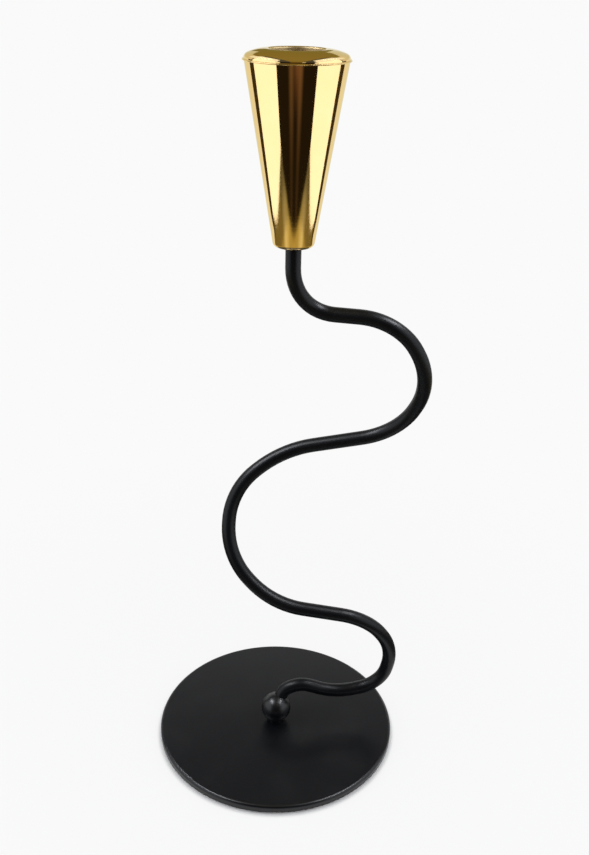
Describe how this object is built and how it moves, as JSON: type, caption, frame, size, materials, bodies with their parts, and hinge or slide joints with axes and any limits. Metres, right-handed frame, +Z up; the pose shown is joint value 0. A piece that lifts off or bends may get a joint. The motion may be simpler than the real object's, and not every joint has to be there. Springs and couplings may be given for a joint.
{
  "type": "spiral candle holder",
  "caption": "Tall candle holder: a brass cone with a domed lift-off cap stands on a black rod bent in an upright spiral, held by a ball on a round flat base.",
  "frame": {"origin": "middle of the felt face that the holder rests on, under the middle of the round base", "axes": "+Z up; +X to the side that the rod's two wide bends reach out to; +Y to the back, away from the viewer of the front"},
  "size_m": [0.133, 0.125, 0.3481],
  "materials": {
    "brass": "polished",
    "black_paint": "satin black",
    "steel": "plated",
    "felt": "felt"
  },
  "bodies": {
    "stand": {"base_pad": "felt", "base_plate": "black_paint", "base_screw": "steel", "ball_joint": "black_paint", "stem": "black_paint", "candle_cup": "brass", "cup_washer": "steel", "cup_screw": "steel"},
    "cap": {"cup_cap": "brass"}
  },
  "joints": [
    {"name": "cap_lift", "type": "slide", "parent": "stand", "child": "cap", "axis": [0, 0, 1], "range_m": [0, 0.03]}
  ]
}
